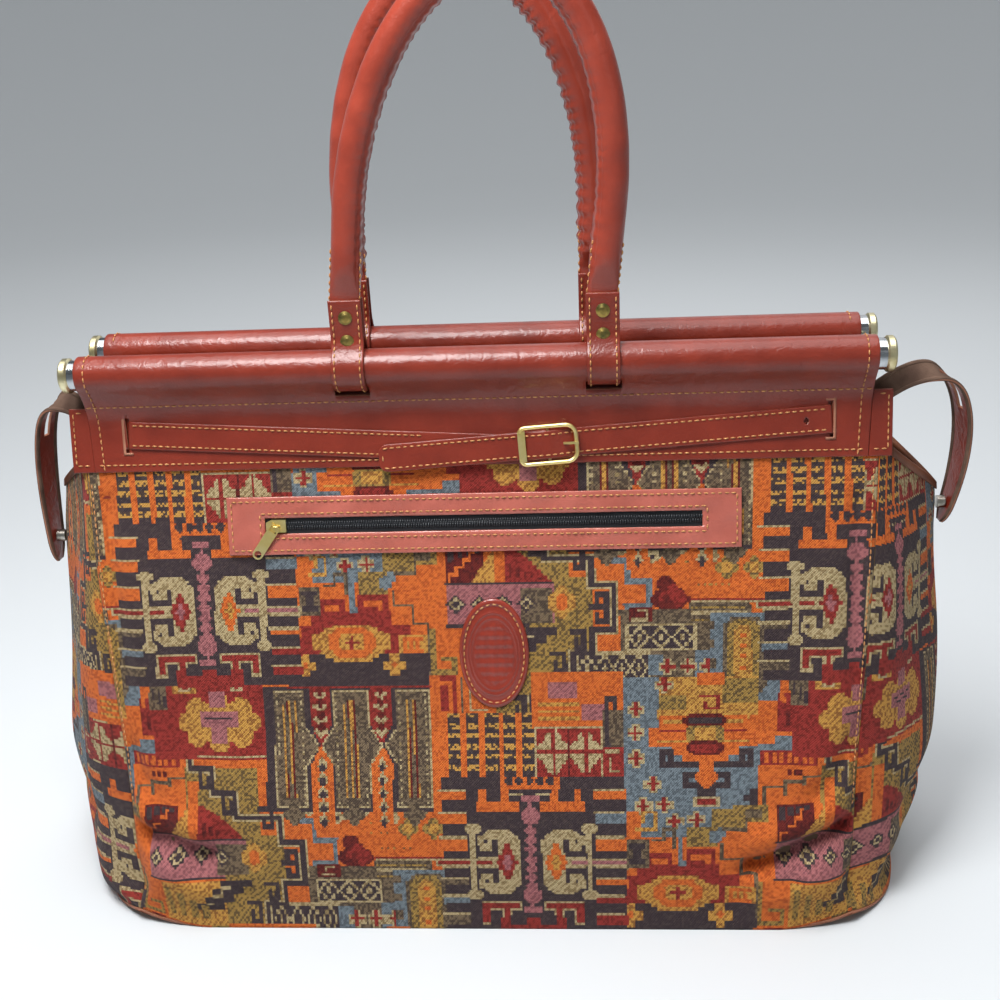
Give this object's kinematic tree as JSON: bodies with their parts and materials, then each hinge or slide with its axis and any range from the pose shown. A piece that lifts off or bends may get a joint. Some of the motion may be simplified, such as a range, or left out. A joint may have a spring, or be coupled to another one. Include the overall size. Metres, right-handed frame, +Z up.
{
  "type": "carpet bag",
  "caption": "Carpet bag of woven tapestry cloth with leather bands round twin rods, rolled carrying handles, a zipped front pocket, a buckled belt and side straps.",
  "frame": {"origin": "middle of the base's underside", "axes": "+X along the bag's length, -Y out of the zipped front, +Z up"},
  "size_m": [0.6731, 0.232, 0.6617],
  "materials": {
    "tapestry": "jacquard-woven tapestry cloth, orange, red, black, gold and slate",
    "leather": "glossy red-brown hide with raw edges",
    "base_leather": "matt tan hide",
    "rod_chrome": "chromed steel tube",
    "cap_brass": "pale brushed brass",
    "rivet_brass": "antique brass",
    "bright_brass": "polished brass plate",
    "zip_cloth": "black woven tape",
    "zip_nylon": "black nylon coil",
    "pocket_cloth": "black pocketing"
  },
  "bodies": {
    "bag": {"base_panel": "base_leather", "front_panel": "tapestry", "rear_panel": "tapestry", "left_gusset": "tapestry", "right_gusset": "tapestry", "left_gusset_binding": "base_leather", "right_gusset_binding": "base_leather", "front_facing": "leather", "rear_facing": "leather", "front_band": "leather", "rear_band": "leather", "front_rod": "rod_chrome", "rear_rod": "rod_chrome", "front_left_cap": "cap_brass", "front_right_cap": "cap_brass", "rear_left_cap": "cap_brass", "rear_right_cap": "cap_brass", "pocket_bag": "pocket_cloth", "zip_tape": "zip_cloth", "zip_coil": "zip_nylon", "zip_surround": "leather", "badge": "leather", "belt_left": "leather", "belt_right": "leather", "buckle_frame": "bright_brass", "buckle_prong": "bright_brass", "left_side_strap": "leather", "right_side_strap": "leather", "left_snap": "cap_brass", "right_snap": "cap_brass"},
    "front_handle": {"front_left_loop": "leather", "front_right_loop": "leather", "front_handle": "leather", "front_handle_rivets": "rivet_brass"},
    "rear_handle": {"rear_left_loop": "leather", "rear_right_loop": "leather", "rear_handle": "leather", "rear_handle_rivets": "rivet_brass"},
    "zip_slider": {"zip_slider": "bright_brass"},
    "zip_puller": {"zip_puller": "bright_brass"}
  },
  "joints": [
    {"name": "front_handle_swing", "type": "hinge", "parent": "bag", "child": "front_handle", "pos_m": [0, -0.03, 0.4], "axis": [1, 0, 0], "range_deg": [-4, 120]},
    {"name": "rear_handle_swing", "type": "hinge", "parent": "bag", "child": "rear_handle", "pos_m": [0, 0.03, 0.4], "axis": [-1, 0, 0], "range_deg": [-4, 120]},
    {"name": "zip_slide", "type": "slide", "parent": "bag", "child": "zip_slider", "axis": [1, 0, 0], "range_m": [0, 0.285]},
    {"name": "puller_swing", "type": "hinge", "parent": "zip_slider", "child": "zip_puller", "pos_m": [-0.1395, -0.05061, 0.29325], "axis": [-0.8192, 0.134, 0.5577], "range_deg": [0, 110]}
  ]
}
